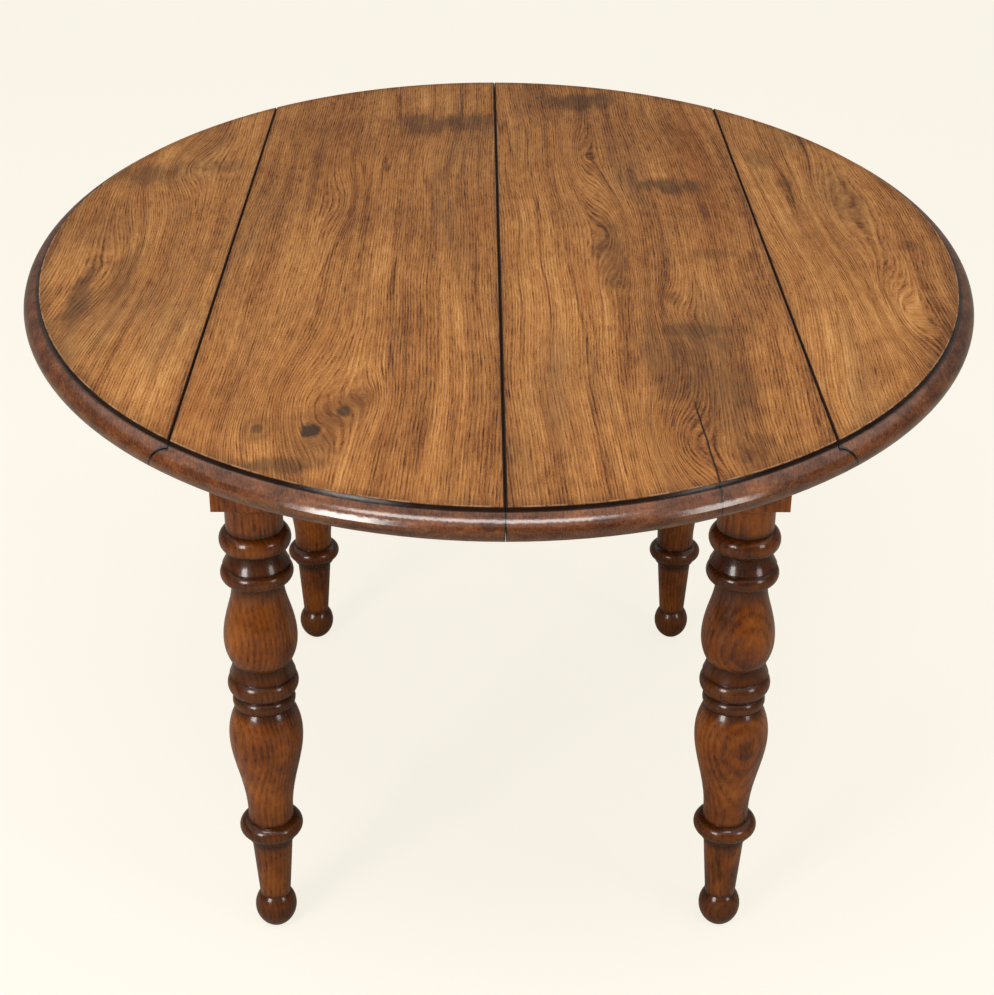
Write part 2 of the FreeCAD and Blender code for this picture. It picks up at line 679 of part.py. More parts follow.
def tongue_outline(root_y, outwards, clearance):
    """Dovetail section that stands out from a side of the middle runner."""
    mid = (RUNNER_TOP + RUNNER_BOTTOM) / 2
    root = TONGUE_ROOT / 2 + clearance
    tip = TONGUE_TIP / 2 + clearance
    base_y = root_y - outwards * SPARE
    tip_y = root_y + outwards * (TONGUE_DEPTH + clearance)
    slope = (tip - root) / (TONGUE_DEPTH + clearance)
    base = root - slope * SPARE
    return [
        (-base_y, mid - base),
        (-tip_y, mid - tip),
        (-tip_y, mid + tip),
        (-base_y, mid + base),
    ]


def front_left_runner():
    """Inner runner, screwed to the left half. Its dovetail groove stops short of the free end."""
    near, far = runner_y(0)
    start = -RUNNER_OUTER_X
    end = RUNNER_FREE_X
    bar = box(start, end, -near, -far, RUNNER_BOTTOM, RUNNER_TOP)
    stop = -TONGUE_SETBACK + EXTENSION / 2 + STOP_GAP
    middle_near = runner_y(1)[0]
    groove = bar_along_x(tongue_outline(middle_near, -1, RUNNER_CLEARANCE), start - SPARE, stop)
    cuts = [groove] + frame_screws("left", FIT_CLEARANCE) + frame_screw_wells("left")
    return bar.cut(cuts)


def front_right_runner():
    """Outer runner, screwed to the right half, grooved on the side that faces the middle one."""
    near, far = runner_y(2)
    end = RUNNER_OUTER_X
    start = -RUNNER_FREE_X
    bar = box(start, end, -near, -far, RUNNER_BOTTOM, RUNNER_TOP)
    stop = TONGUE_SETBACK - EXTENSION / 2 - STOP_GAP
    middle_far = runner_y(1)[1]
    groove = bar_along_x(tongue_outline(middle_far, 1, RUNNER_CLEARANCE), stop, end + SPARE)
    cuts = [groove] + frame_screws("right", FIT_CLEARANCE) + frame_screw_wells("right")
    return bar.cut(cuts)


def front_middle_runner():
    """Middle runner: a dovetail tongue on each side rides in the grooves of its neighbours."""
    near, far = runner_y(1)
    half = MIDDLE_RUNNER_X
    bar = box(-half, half, -near, -far, RUNNER_BOTTOM, RUNNER_TOP)
    left_tongue = bar_along_x(tongue_outline(near, -1, 0.0), -half, -TONGUE_SETBACK)
    right_tongue = bar_along_x(tongue_outline(far, 1, 0.0), TONGUE_SETBACK, half)
    return joined([bar, left_tongue, right_tongue])


def frame_screw_places(side):
    """Where screws go up into one centre board: x, y and the level of the screw head."""
    head = UNDERSIDE + FRAME_SCREW_BITE - FRAME_SCREW_LENGTH
    sign = -1 if side == "left" else 1
    near, far = runner_y(0 if side == "left" else 2)
    places = []
    for x in RUNNER_SCREW_PLACES:
        for y in (-1, 1):
            places.append((sign * x, y * (near + far) / 2, head))
    bearer_x = (BEARER_INNER_X + BEARER_OUTER_X) / 2
    for y in (-LOPER_Y / 2, LOPER_Y / 2):
        places.append((sign * bearer_x, y, head))
    return places


def frame_screws(side, clearance=0.0):
    return [
        screw(x, y, z, FRAME_SCREW_R, FRAME_SCREW_HEAD_R, FRAME_SCREW_LENGTH, clearance)
        for x, y, z in frame_screw_places(side)
    ]


def frame_screw_wells(side):
    """Wide holes bored from below so that the screw heads sit deep in the wood."""
    radius = FRAME_SCREW_HEAD_R + 2 * FIT_CLEARANCE
    wells = []
    for x, y, z in frame_screw_places(side):
        foot = Vector(x, y, BEARER_BOTTOM - SPARE)
        wells.append(Part.makeCylinder(radius, z - BEARER_BOTTOM + SPARE, foot))
    return wells


def left_glue_blocks():
    """Three-cornered blocks glued between the left rails and the top."""
    half = GLUE_BLOCK_LENGTH / 2
    side = GLUE_BLOCK_SIDE
    blocks = []
    for y in (-END_GLUE_BLOCK_Y, END_GLUE_BLOCK_Y):
        corner = Vector(-RAIL_INNER_X, y - half, UNDERSIDE)
        points = [corner, corner + Vector(side, 0, 0), corner + Vector(0, 0, -side), corner]
        blocks.append(Part.Face(Part.makePolygon(points)).extrude(Vector(0, GLUE_BLOCK_LENGTH, 0)))
    outline = [
        (-RAIL_INNER_Y, UNDERSIDE),
        (-RAIL_INNER_Y + side, UNDERSIDE),
        (-RAIL_INNER_Y, UNDERSIDE - side),
    ]
    front = bar_along_x(outline, -SIDE_GLUE_BLOCK_X - half, -SIDE_GLUE_BLOCK_X + half)
    return blocks + [front, flipped(front)]


def build():
    """Every piece of the table, by name."""
    slab = oval_slab()
    parts = {
        "left_centre_top": left_centre_top(slab),
        "right_centre_top": right_centre_top(slab),
        "left_leaf": left_leaf(slab),
        "front_left_leg": front_left_leg(),
        "left_end_rail": left_end_rail(),
        "front_left_rail": left_front_rail(),
        "left_bearer": left_bearer(),
        "front_left_runner": front_left_runner(),
        "front_right_runner": front_right_runner(),
        "front_middle_runner": front_middle_runner(),
        "front_left_loper": front_left_loper(),
        "front_left_loper_stop": loper_stop(),
        "alignment_pegs": Part.makeCompound(align_pegs()),
    }
    pegs = frame_pegs()
    groups = {
        "left_frame_pegs": pegs + [flipped(peg) for peg in pegs],
        "left_glue_blocks": left_glue_blocks(),
        "left_hinge_fixed_flaps": [fixed_flap(y) for y in HINGE_PLACES],
        "left_hinge_leaf_flaps": [leaf_flap(y) for y in HINGE_PLACES],
        "left_hinge_pins": [hinge_pin(y) for y in HINGE_PLACES],
        "left_hinge_fixed_screws": hinge_screws(fixed_screw_places()),
        "left_hinge_leaf_screws": hinge_screws(leaf_screw_places()),
    }
    for name, solids in groups.items():
        parts[name] = Part.makeCompound(solids)
    for side in ("left", "right"):
        parts[side + "_frame_screws"] = Part.makeCompound(frame_screws(side))
    for name in list(parts):
        if name.startswith("front"):
            parts[name.replace("front", "back")] = flipped(parts[name])
    for name in list(parts):
        other = name.replace("left", "right")
        if other not in parts:
            parts[other] = mirrored(parts[name])
    return parts


os.makedirs("parts", exist_ok=True)
for node, shape in build().items():
    shape.exportStep("parts/" + node + ".step")
    print(node, len(shape.Solids), "solids", shape.isValid(), round(shape.Volume / 1000), "cm3")
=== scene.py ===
import math

import bpy
from mathutils import Matrix, Vector


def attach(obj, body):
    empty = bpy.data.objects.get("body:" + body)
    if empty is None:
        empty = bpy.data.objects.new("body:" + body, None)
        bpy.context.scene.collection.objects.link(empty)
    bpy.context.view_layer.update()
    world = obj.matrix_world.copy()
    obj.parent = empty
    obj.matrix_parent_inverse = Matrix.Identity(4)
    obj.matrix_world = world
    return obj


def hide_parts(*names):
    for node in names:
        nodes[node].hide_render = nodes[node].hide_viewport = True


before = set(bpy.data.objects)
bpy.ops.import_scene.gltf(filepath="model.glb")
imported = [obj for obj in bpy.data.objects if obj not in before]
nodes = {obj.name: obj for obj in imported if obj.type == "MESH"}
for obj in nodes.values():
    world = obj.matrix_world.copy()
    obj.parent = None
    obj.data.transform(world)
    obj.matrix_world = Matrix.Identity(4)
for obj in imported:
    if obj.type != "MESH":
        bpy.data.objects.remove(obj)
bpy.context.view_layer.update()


# The oval top: four thick oak boards with the grain running front to back, planed by hand, waxed and
# worn. One moulding was run round the whole oval after the boards were hinged together, so the rim
# keeps one line across the joints.


class Value:
    """A socket of a material's node tree that takes part in plain arithmetic."""

    def __init__(self, tree, socket):
        self.tree = tree
        self.socket = socket

    def node(self, kind, settings, inputs, output=0):
        made = self.tree.nodes.new(kind)
        for name, value in settings.items():
            if name == "stops":
                ramp = made.color_ramp
                while len(ramp.elements) < len(value):
                    ramp.elements.new(0.5)
                for element, (place, colour) in zip(ramp.elements, value):
                    element.position = place
                    element.color = (*colour, 1.0)
            else:
                setattr(made, name, value)
        for key, value in inputs.items():
            if isinstance(value, Value):
                self.tree.links.new(value.socket, made.inputs[key])
            else:
                made.inputs[key].default_value = value
        return Value(self.tree, made.outputs[output])

    def math(self, operation, other=0.0):
        return self.node("ShaderNodeMath", {"operation": operation}, {0: self, 1: other})

    def __add__(self, other):
        return self.math("ADD", other)

    def __radd__(self, other):
        return self.math("ADD", other)

    def __sub__(self, other):
        return self.math("SUBTRACT", other)

    def __rsub__(self, other):
        return (self * -1.0).math("ADD", other)

    def __mul__(self, other):
        return self.math("MULTIPLY", other)

    def __truediv__(self, other):
        return self.math("DIVIDE", other)

    def __pow__(self, other):
        return self.math("POWER", other)


def linear(red, green, blue):
    """A colour as it is read off a screen, turned into light."""
    shares = (red / 255, green / 255, blue / 255)
    return tuple(s / 12.92 if s < 0.0405 else ((s + 0.055) / 1.055) ** 2.4 for s in shares)


def new_finish(name):
    """A bare material: its shader node, and the place on the object as x, y and z."""
    material = bpy.data.materials.new(name)
    material.use_nodes = True
    tree = material.node_tree
    shader = tree.nodes["Principled BSDF"]
    place = Value(tree, tree.nodes.new("ShaderNodeTexCoord").outputs["Object"])
    split = tree.nodes.new("ShaderNodeSeparateXYZ")
    tree.links.new(place.socket, split.inputs[0])
    return material, shader, [Value(tree, split.outputs[i]) for i in range(3)]


def vector(x, y, z):
    any_value = next(v for v in (x, y, z) if isinstance(v, Value))
    return any_value.node("ShaderNodeCombineXYZ", {}, {0: x, 1: y, 2: z})


def noise(place, detail, roughness=0.5):
    return place.node("ShaderNodeTexNoise", {}, {
        "Vector": place, "Scale": 1.0, "Detail": detail, "Roughness": roughness,
    })


def clamp(value):
    return value.node("ShaderNodeClamp", {}, {0: value})


def step(value, low, high):
    """0 below low and 1 above high, smooth between."""
    return value.node(
        "ShaderNodeMapRange", {"interpolation_type": "SMOOTHSTEP"}, {0: value, 1: low, 2: high},
    )


def hump(value, centre, width):
    """1 at the centre, falling away to both sides."""
    away = (value - centre) / width
    return (away * away * -1.0).math("EXPONENT")


def spot(x, y, centre, size):
    """1 at a place on the top, falling away round it; size is half its width and half its length."""
    u = (x - centre[0]) / size[0]
    v = (y - centre[1]) / size[1]
    return ((u * u + v * v) * -1.0).math("EXPONENT")


def mix(amount, colour_a, colour_b):
    source = next(v for v in (amount, colour_a, colour_b) if isinstance(v, Value))
    return source.node(
        "ShaderNodeMix", {"data_type": "RGBA", "clamp_factor": True},
        {0: amount, 6: colour_a if isinstance(colour_a, Value) else (*colour_a, 1.0),
         7: colour_b if isinstance(colour_b, Value) else (*colour_b, 1.0)}, 2,
    )


def ramp(value, stops):
    return value.node("ShaderNodeValToRGB", {"stops": stops}, {0: value})


def feed(shader, **sockets):
    """Links values that vary over the surface to the shader, and sets the ones that don't."""
    for name, value in sockets.items():
        socket = shader.inputs[name.replace("_", " ")]
        if isinstance(value, Value):
            value.tree.links.new(value.socket, socket)
        else:
            socket.default_value = value


def relief(height, distance, strength):
    return height.node("ShaderNodeBump", {}, {
        "Strength": strength, "Distance": distance, "Height": height,
    })


half_width = 0.540
half_length = 0.700
joint_x = 0.310
top_z = 0.740
underside_z = 0.712
rim_width = 0.018
hinge_z = 0.715
ovolo_r = 0.0203
half_gap = 0.0006


def board_grain(place, lean, turn, knots, figures):
    """The grain of one board: lean is how far it strays, and figures are the flame shapes in it."""
    x, y, z = place
    across = x
    for centre, size in knots:
        round_it = spot(x, y, centre, (size * 3.2, size * 8.0))
        across = across - (x - centre[0]) * round_it * 0.46
    for centre, size, rise in figures:
        across = across + spot(x, y, centre, size) * rise
    sway = noise(vector(x * 3.0 + turn, y * 1.7, z * 2.0), 1.0) - 0.5
    shiver = noise(vector(x * 34.0, y * 12.0 + turn, z * 9.0), 2.0) - 0.5
    across = across + sway * lean + shiver * 0.0017

    # Each year leaves a strip of open spring wood, and some seasons leave a darker line.
    spacing = noise(vector(across * 36.0 + turn, y * 0.9, z * 30.0), 2.0) * 3.2
    year = (across * 300.0 + z * 90.0 + spacing).math("FRACT")
    spring = step(year, 0.0, 0.15) * (1.0 - step(year, 0.25, 0.85))
    band = noise(vector(across * 26.0 + turn, y * 1.1, z * 30.0), 3.0) - 0.5
    cloud = noise(vector(x * 7.0, y * 5.0 + turn, z * 5.0), 3.0) - 0.5
    mottle = noise(vector(x * 75.0, y * 28.0 + turn, z * 60.0), 2.0) - 0.5
    season = (across * 34.0 + turn + band * 3.0).math("FRACT")
    season = hump(season, 0.5, 0.055) * step(cloud + mottle * 0.5, -0.05, 0.20)

    # Fibres run from long strands down to short flecks, and the pores lie mostly in the spring wood.
    deep = z * 300.0
    vein = noise(vector(across * 95.0 + turn, y * 2.6, z * 30.0), 3.0, 0.55) - 0.5
    strand = noise(vector(across * 560.0, y * 7.0 + turn, deep), 3.0, 0.62) - 0.5
    fibre = noise(vector(across * 1000.0, y * 48.0 + turn, deep * 3.0), 2.0, 0.6) - 0.5
    fleck = noise(vector(across * 900.0, y * 300.0 + turn, deep * 3.0), 2.0, 0.6) - 0.5
    pore = step(noise(vector(across * 620.0, y * 30.0 + turn, deep * 2.0), 3.0, 0.6), 0.47, 0.66)
    pore = clamp(pore * (0.40 + spring * 0.75))
    tone = 0.66 + strand * 0.62 + fibre * 0.62 + fleck * 0.62 + band * 0.50 + cloud * 0.46
    tone = tone + vein * 0.62 + mottle * 0.34 - spring * 0.15 - pore * 0.25 - season * 0.36
    return across, strand, fibre, band, pore, tone


def board_face(place, turn, across, strand, tone, stains, knots):
    """The colour of the planed face: smoky and reddish drifts along the grain, stains and knots."""
    x, y, z = place
    colour = ramp(clamp(tone), [
        (0.0, linear(58, 29, 12)), (0.25, linear(104, 60, 29)), (0.50, linear(152, 98, 50)),
        (0.75, linear(184, 126, 68)), (1.0, linear(212, 158, 96)),
    ])
    drift = noise(vector(across * 13.0 + turn, y * 1.9, z * 20.0), 4.0, 0.6)
    colour = mix(step(drift, 0.50, 0.74) * 0.42, colour, linear(112, 84, 55))
    colour = mix((1.0 - step(drift, 0.28, 0.48)) * 0.34, colour, linear(150, 84, 34))
    smoke = noise(vector(across * 52.0 + turn, y * 15.0, 1.0), 5.0, 0.62) + strand * 0.22
    for centre, size, amount in stains:
        shape = step(spot(x, y, centre, size) * (smoke * 2.9 - 0.45), 0.22, 0.88)
        colour = mix(clamp(shape * amount * 0.66), colour, linear(62, 42, 28))
    for centre, size in knots:
        u = (x - centre[0]) / size
        v = (y - centre[1]) / (size * 1.7)
        ragged = noise(vector(x * 130.0, y * 90.0, turn), 3.0) - 0.5
        far = (u * u + v * v).math("SQRT") + ragged * 0.75
        core = (1.0 - step(far, 0.50, 1.05)) * min(0.92, size * 85.0)
        colour = mix(hump(far, 1.5, 0.9) * 0.42, colour, linear(92, 52, 24))
        colour = mix(core, colour, linear(48, 36, 29))
    return colour


def from_rim(x, y):
    """How far a place on the oval lies in from its edge."""
    level = (1.0 - (x / half_width) ** 2.0 - (y / half_length) ** 2.0)
    slope = ((x / half_width ** 2) ** 2.0 + (y / half_length ** 2) ** 2.0).math("SQRT") * 2.0
    return level / slope


def joint_lines(place, inwards, middle, joint):
    """The dark lines of the joints. On the rim, a rule joint is a quarter circle with a heel below."""
    x, y, z = place
    out = middle - joint_x
    up = z - hinge_z
    quarter = ((out * out + up * up).math("SQRT") - ovolo_r).math("ABSOLUTE")
    quarter = (1.0 - step(quarter, 0.0007, 0.0014)) * step(out, -0.001, 0.001) * step(up, -0.001, 0.001)
    heel = 1.0 - step((out - ovolo_r).math("ABSOLUTE"), 0.0008, 0.0015)
    heel = heel * (1.0 - step(up, -0.001, 0.001))
    split = 1.0 - step(middle, 0.0008, 0.0016)
    on_rim = 1.0 - step(inwards, rim_width - 0.003, rim_width + 0.001)
    seam = (1.0 - step(joint, 0.0013, 0.0021)).math("MAXIMUM", 1.0 - step(middle, 0.0016, 0.0024))
    seam = seam * step(z, top_z - 0.0030, top_z - 0.0016)
    lines = (split.math("MAXIMUM", quarter).math("MAXIMUM", heel) * on_rim).math("MAXIMUM", seam)
    return lines * step(z, underside_z + 0.0002, underside_z + 0.001)


def board_oak(name, lean, turn, knots, figures, stains, pale, crack=None):
    """Waxed oak for one board, with its share of the moulding and of the joints."""
    material, shader, place = new_finish(name)
    x, y, z = place
    across, strand, fibre, band, pore, tone = board_grain(place, lean, turn, knots, figures)
    for centre, size, amount in pale:
        tone = tone + spot(x, y, centre, size) * amount
    colour = board_face(place, turn, across, strand, tone, stains, knots)

    # Dirt has gathered along the rim and the joints, and a patchy pale line is painted along the edge
    # of the face, partly wear and partly the highlight on the arris.
    inwards = from_rim(x, y)
    middle = x.math("ABSOLUTE")
    joint = (middle - joint_x - half_gap).math("ABSOLUTE")
    grime = noise(vector(x * 60.0, y * 60.0, turn), 3.0, 0.6)
    edge_dirt = 1.0 - step(inwards, rim_width + 0.001, rim_width + 0.020)
    edge_dirt = edge_dirt * (0.05 + grime * 0.55)
    soft_dirt = (1.0 - step(joint.math("MINIMUM", middle), 0.001, 0.011)) * grime * 0.5
    colour = mix(clamp(edge_dirt.math("MAXIMUM", soft_dirt)), colour, linear(60, 35, 20))
    # Painted highlight and wear: a patchy pale line just inside the edge of the face.
    arris_wear_and_highlight = hump(inwards, rim_width + 0.0006, 0.0009) * step(grime, 0.42, 0.60)
    colour = mix(arris_wear_and_highlight * 0.55, colour, linear(206, 160, 118))

    # The moulding is darker than the face, and the quirk under the edge of the face is painted near
    # black, as the shade in the step.
    speck = noise(vector(x * 230.0, y * 230.0, z * 480.0), 3.0, 0.65) - 0.5
    flow = noise(vector(x * 30.0 + turn, y * 30.0, z * 120.0), 3.0, 0.6) - 0.5
    rim_tone = 0.56 + speck * 0.60 + flow * 1.15 + strand * 0.75 + band * 0.5 - pore * 0.22
    rim_colour = ramp(clamp(rim_tone), [
        (0.0, linear(38, 17, 6)), (0.35, linear(77, 38, 14)),
        (0.62, linear(107, 57, 22)), (1.0, linear(147, 88, 42)),
    ])
    # Painted shade: the quirk under the step of the face is coloured near black.
    quirk_shade = step(inwards, rim_width - 0.0058, rim_width - 0.0020)
    quirk_shade = quirk_shade * step(z, top_z - 0.0085, top_z - 0.0050)
    rim_colour = mix(quirk_shade * 0.94, rim_colour, linear(22, 12, 8))

    # Behind the moulding lie only the faces of the joints, rubbed brown. The underside is raw and grey.
    inner = step(inwards, rim_width + 0.0015, rim_width + 0.004)
    rubbed = ramp(clamp(tone + grime * 0.3 - 0.15), [
        (0.0, linear(52, 30, 17)), (0.5, linear(104, 66, 37)), (1.0, linear(146, 101, 62)),
    ])
    raw = ramp(clamp(tone - 0.05), [
        (0.0, linear(72, 47, 30)), (0.5, linear(122, 88, 60)), (1.0, linear(154, 120, 88)),
    ])
    above_underside = step(z, underside_z + 0.0004, underside_z + 0.0015)
    # The top's colour reaches over the upper millimetre of the step face, as a painted highlight along
    # the arris.
    on_top = step(z, top_z - 0.0012, top_z - 0.0004)
    rim_colour = mix(inner, rim_colour, rubbed)
    rim_colour = mix(1.0 - above_underside, rim_colour, raw)
    colour = mix(on_top, rim_colour, colour)
    lines = joint_lines(place, inwards, middle, joint)
    colour = mix(lines * 0.95, colour, linear(24, 13, 9))

    # Only the moulding was waxed to a shine: the underside and the faces of the joints are dry.
    waxed = (1.0 - on_top) * (1.0 - inner) * above_underside
    dent = strand * 0.4 + fibre * 0.4 - pore * 0.7
    dent = dent * (1.0 - waxed) + (flow * 1.1 + speck * 0.6) * waxed
    if crack:
        (x0, y0), (x1, y1), wide = crack
        along = clamp((y - y0) / (y1 - y0))
        stray = (noise(vector(0.0, y * 30.0, 5.0), 2.0) - 0.5) * 0.003
        beside = (x - (x0 + (along ** 0.8) * (x1 - x0) + stray)).math("ABSOLUTE")
        cut = (1.0 - step(beside, wide * 0.4, wide)) * (1.0 - step(y, y1 - 0.05, y1))
        colour = mix(cut * 0.92, colour, linear(26, 15, 10))
        dent = dent - cut * 5.0
    gloss = 0.68 + on_top * (pore * 0.2 - 0.22) + (grime - 0.5) * 0.18
    gloss = gloss + waxed * (speck * 0.2 - 0.48)
    feed(
        shader, Base_Color=colour, Roughness=clamp(gloss), Normal=relief(dent, 0.0005, 0.45),
        Specular_IOR_Level=0.25, Coat_Weight=clamp(waxed * (0.9 + flow * 1.4)),
        Coat_Roughness=0.20, Coat_IOR=1.70,
    )
    return material


def dress(node, material):
    for slot in nodes[node].material_slots:
        slot.material = material


# Knots are given by place and size, figures by place, size and how far they bend the grain, and stains
# and paler strips by place, size and strength. All are where the photo shows them.
dress("left_leaf", board_oak(
    "waxed oak left leaf", lean=0.065, turn=3.7,
    knots=[],
    figures=[((-0.405, 0.265), (0.040, 0.110), 0.030), ((-0.430, -0.080), (0.030, 0.180), -0.022)],
    stains=[
        ((-0.44, 0.24), (0.045, 0.05), 0.75), ((-0.36, 0.28), (0.05, 0.035), 0.55),
        ((-0.458, -0.186), (0.016, 0.10), 0.9), ((-0.42, -0.10), (0.018, 0.12), 0.55),
        ((-0.47, 0.02), (0.05, 0.12), 0.35),
    ],
    pale=[((-0.35, -0.30), (0.04, 0.25), 0.10), ((-0.42, 0.0), (0.3, 0.8), 0.06)],
))
dress("left_centre_top", board_oak(
    "waxed oak left board", lean=0.050, turn=11.3,
    knots=[
        ((-0.181, -0.527), 0.0125), ((-0.231, -0.525), 0.0075),
        ((-0.152, -0.484), 0.0095), ((-0.136, -0.452), 0.006),
    ],
    figures=[((-0.200, -0.450), (0.050, 0.150), 0.026), ((-0.190, 0.140), (0.020, 0.110), -0.016)],
    stains=[
        ((-0.095, 0.467), (0.055, 0.055), 0.85), ((-0.033, 0.482), (0.04, 0.05), 0.75),
        ((-0.20, -0.600), (0.05, 0.022), 0.9), ((-0.175, -0.56), (0.03, 0.03), 0.4),
        ((-0.235, 0.33), (0.012, 0.22), 0.35),
    ],
    pale=[
        ((-0.25, -0.15), (0.03, 0.4), 0.10), ((-0.14, -0.2), (0.012, 0.3), 0.16),
        ((-0.20, 0.0), (0.015, 0.2), 0.14), ((-0.15, -0.2), (0.3, 0.8), -0.035),
    ],
))
dress("right_centre_top", board_oak(
    "waxed oak right board", lean=0.055, turn=23.9,
    knots=[((0.133, -0.141), 0.0055), ((0.189, -0.189), 0.0045), ((0.222, -0.590), 0.006)],
    figures=[
        ((0.165, -0.560), (0.030, 0.100), 0.034), ((0.110, 0.330), (0.018, 0.150), 0.018),
        ((0.135, 0.010), (0.020, 0.140), -0.020), ((0.190, -0.230), (0.024, 0.080), 0.018),
    ],
    stains=[
        ((0.127, 0.579), (0.07, 0.055), 0.95), ((0.219, 0.194), (0.05, 0.035), 1.0),
        ((0.205, -0.28), (0.050, 0.022), 0.60), ((0.13, -0.05), (0.022, 0.14), 0.6),
        ((0.21, -0.40), (0.045, 0.16), 0.55), ((0.245, -0.05), (0.06, 0.02), 0.45),
        ((0.225, -0.56), (0.05, 0.035), 0.55), ((0.16, -0.34), (0.02, 0.16), 0.45),
    ],
    pale=[
        ((0.06, -0.30), (0.05, 0.35), 0.15), ((0.03, 0.15), (0.03, 0.25), 0.10),
        ((0.15, 0.0), (0.3, 0.8), -0.035),
    ],
    crack=((0.196, -0.72), (0.185, -0.44), 0.0013),
))
dress("right_leaf", board_oak(
    "waxed oak right leaf", lean=0.075, turn=37.1,
    knots=[((0.365, 0.207), 0.005), ((0.478, -0.022), 0.005)],
    figures=[((0.405, 0.090), (0.042, 0.230), 0.044), ((0.430, -0.240), (0.026, 0.130), 0.028)],
    stains=[
        ((0.40, 0.42), (0.05, 0.10), 0.45), ((0.43, 0.16), (0.03, 0.14), 0.45),
        ((0.345, 0.32), (0.02, 0.06), 0.5),
    ],
    pale=[
        ((0.424, -0.243), (0.022, 0.08), 0.16), ((0.35, -0.2), (0.03, 0.25), 0.08),
        ((0.42, 0.0), (0.3, 0.8), 0.035),
    ],
))


# The legs: each turned on a lathe from one square of oak, the head left square to take the rails.
# Handling has worn the swellings golden, and dark wax has stayed in every groove.


def leg_oak(name, axis_x, axis_y, heart):
    """Waxed oak for one leg. Heart is where the middle of the log lay, seen from the leg's axis."""
    material, shader, (x, y, z) = new_finish(name)
    u = x - axis_x
    v = y - axis_y
    sway = noise(vector(x * 5.0, y * 5.0, z * 4.0), 2.0) - 0.5
    du = u - heart[0] + sway * 0.03
    dv = v - heart[1] + sway * 0.02
    from_heart = (du * du + dv * dv).math("SQRT")
    year = (from_heart * 210.0 + sway * 1.5).math("FRACT")
    spring = step(year, 0.0, 0.15) * (1.0 - step(year, 0.25, 0.8))
    strand = noise(vector(du * 340.0, dv * 340.0, z * 12.0), 3.0, 0.6) - 0.5
    fleck = noise(vector(u * 190.0, v * 190.0, z * 95.0), 3.0, 0.65) - 0.5
    cloud = noise(vector(x * 22.0, y * 22.0, z * 17.0), 3.0) - 0.5
    pore = step(noise(vector(u * 560.0, v * 560.0, z * 70.0), 1.0), 0.58, 0.70) * (0.25 + spring)
    tone = 0.59 + strand * 0.42 + fleck * 0.48 + cloud * 1.15 - spring * 0.12 - pore * 0.26
    colour = ramp(clamp(tone), [
        (0.0, linear(44, 16, 2)), (0.32, linear(96, 44, 6)),
        (0.6, linear(146, 75, 12)), (1.0, linear(190, 112, 34)),
    ])
    # Patina by height, in metres up from the floor: 1 is black in a groove, 0 is worn bright.
    reach = 0.8
    foot = [(0.000, 0.78), (0.020, 0.66), (0.040, 0.70), (0.044, 1.00)]
    taper = [(0.049, 0.35), (0.114, 0.25), (0.122, 0.95), (0.130, 1.00)]
    ring = [(0.139, 0.66), (0.149, 0.62), (0.1535, 1.00)]
    vase = [(0.158, 0.40), (0.185, 0.18), (0.262, 0.00), (0.298, 0.15), (0.308, 1.00)]
    collar = [(0.317, 0.72), (0.325, 1.00), (0.335, 0.68), (0.344, 0.64), (0.350, 1.00)]
    flare = [(0.355, 0.68), (0.366, 1.00)]
    baluster = [(0.374, 0.20), (0.405, 0.00), (0.450, 0.25), (0.468, 1.00)]
    torus = [(0.477, 0.66), (0.484, 0.62), (0.4895, 1.00)]
    cup = [(0.494, 0.68), (0.506, 1.00)]
    members = foot + taper + ring + vase + collar + flare + baluster + torus + cup
    patina = ramp(z / reach, [(height / reach, (dark,) * 3) for height, dark in members])
    patina = patina.node("ShaderNodeSeparateColor", {}, {0: patina})
    bead = 1.0 - step(z, 0.508, 0.519) * 0.72
    neck = hump(z, 0.534, 0.0035) * 0.6 - step(z, 0.536, 0.545) * 0.28
    patina = patina * bead + neck
    patchy = 0.86 + cloud * 0.5 + fleck * 0.3
    colour = mix(clamp(patina * patchy), colour, linear(34, 15, 6))
    gloss = 0.27 + fleck * 0.22 + pore * 0.1
    dent = strand * 0.5 + fleck * 0.5 - pore * 0.6 + cloud * 1.6
    feed(
        shader, Base_Color=colour, Roughness=clamp(gloss), Normal=relief(dent, 0.0006, 0.35),
        Specular_IOR_Level=0.25, Coat_Weight=0.6, Coat_Roughness=0.13,
    )
    return material


leg_x = 0.264
leg_y = 0.330
dress("front_left_leg", leg_oak("waxed oak front left leg", -leg_x, -leg_y, (0.062, 0.018)))
dress("front_right_leg", leg_oak("waxed oak front right leg", leg_x, -leg_y, (-0.020, 0.066)))
dress("back_left_leg", leg_oak("waxed oak back left leg", -leg_x, leg_y, (0.055, -0.040)))
dress("back_right_leg", leg_oak("waxed oak back right leg", leg_x, leg_y, (-0.058, -0.022)))


# The frame under the top: rails tenoned into the legs, runners and lopers, all in plain oak that was
# never waxed. It has gone grey-brown with age, and the sliding faces are rubbed paler.


def frame_oak(name, grain, light, dark):
    """Dry unwaxed oak, with its grain along X (0) or along Y (1)."""
    material, shader, place = new_finish(name)
    x, y, z = place
    long_way = place[grain]
    cross_way = place[1 - grain]
    strand = noise(vector(cross_way * 320.0, long_way * 6.0, z * 320.0), 2.0, 0.6)
    band = noise(vector(cross_way * 60.0, long_way * 2.0, z * 45.0), 2.0)
    cloud = noise(vector(x * 9.0, y * 9.0, z * 9.0), 3.0)
    pore = step(noise(vector(cross_way * 700.0, long_way * 40.0, z * 700.0), 1.0), 0.57, 0.70)
    tone = clamp(0.5 + (strand - 0.5) * 1.0 + (band - 0.5) * 0.9 + (cloud - 0.5) * 0.9 - pore * 0.25)
    colour = ramp(tone, [(0.0, dark), (1.0, light)])
    feed(
        shader, Base_Color=colour, Roughness=clamp(0.68 + (cloud - 0.5) * 0.3),
        Normal=relief(strand - pore * 0.8, 0.0007, 0.6),
    )
    return material


